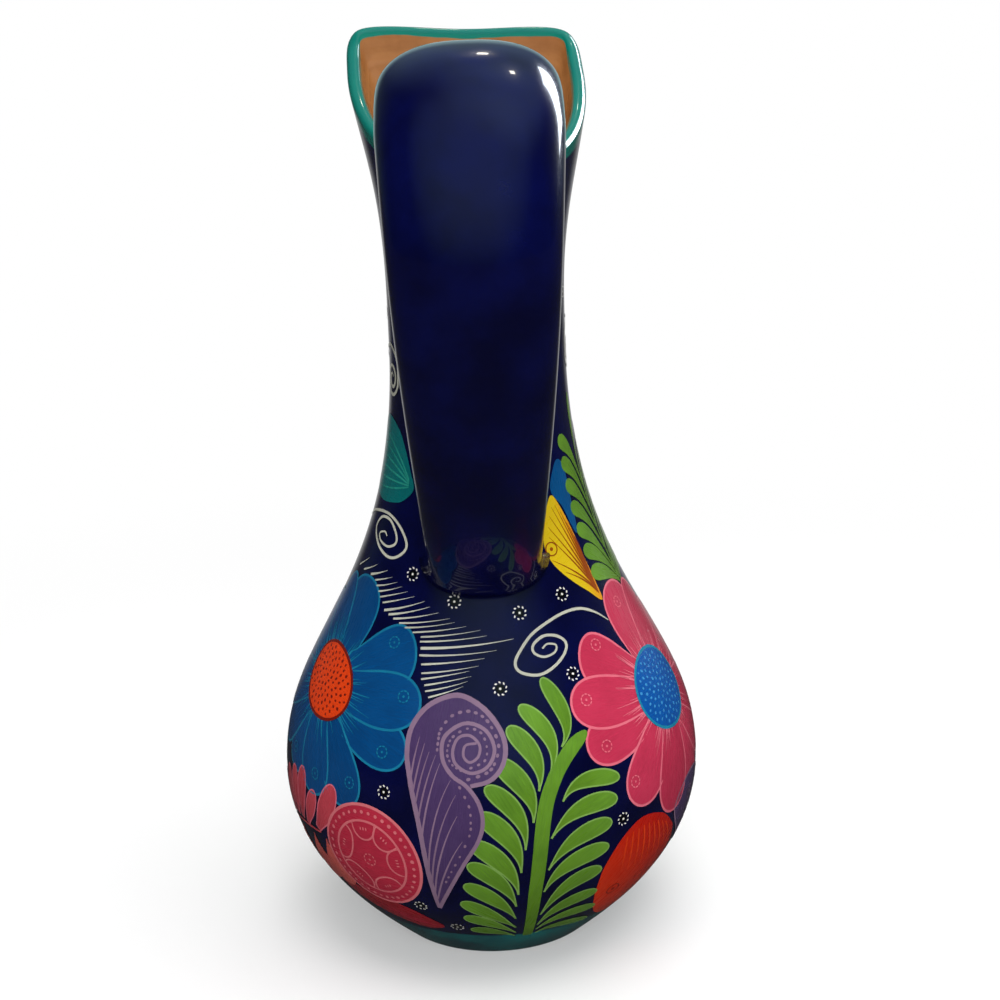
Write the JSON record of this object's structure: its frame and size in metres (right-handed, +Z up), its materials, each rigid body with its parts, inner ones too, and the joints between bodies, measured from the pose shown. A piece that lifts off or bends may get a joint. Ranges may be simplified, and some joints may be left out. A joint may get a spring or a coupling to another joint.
{
  "type": "terracotta jug",
  "caption": "Glazed terracotta pouring jug with a round belly, narrow neck, flared square-cornered mouth with a broad spout and one high strap handle.",
  "frame": {"origin": "centre of the flat standing face, on the axis of the round body", "axes": "+Z up along the body's axis, +Y towards the spout, -Y towards the handle, +X to the right seen from behind the handle"},
  "size_m": [0.1316, 0.1592, 0.2816],
  "materials": {
    "navy_glaze": "glossy varnished navy paint on fired terracotta",
    "teal_glaze": "glossy varnished teal paint on fired terracotta"
  },
  "bodies": {
    "root": {"base_slab": "teal_glaze", "lower_belly": "navy_glaze", "upper_belly": "navy_glaze", "neck": "navy_glaze", "mouth": "navy_glaze", "handle": "navy_glaze", "root_luting": "navy_glaze", "foot_luting": "navy_glaze"}
  },
  "joints": []
}
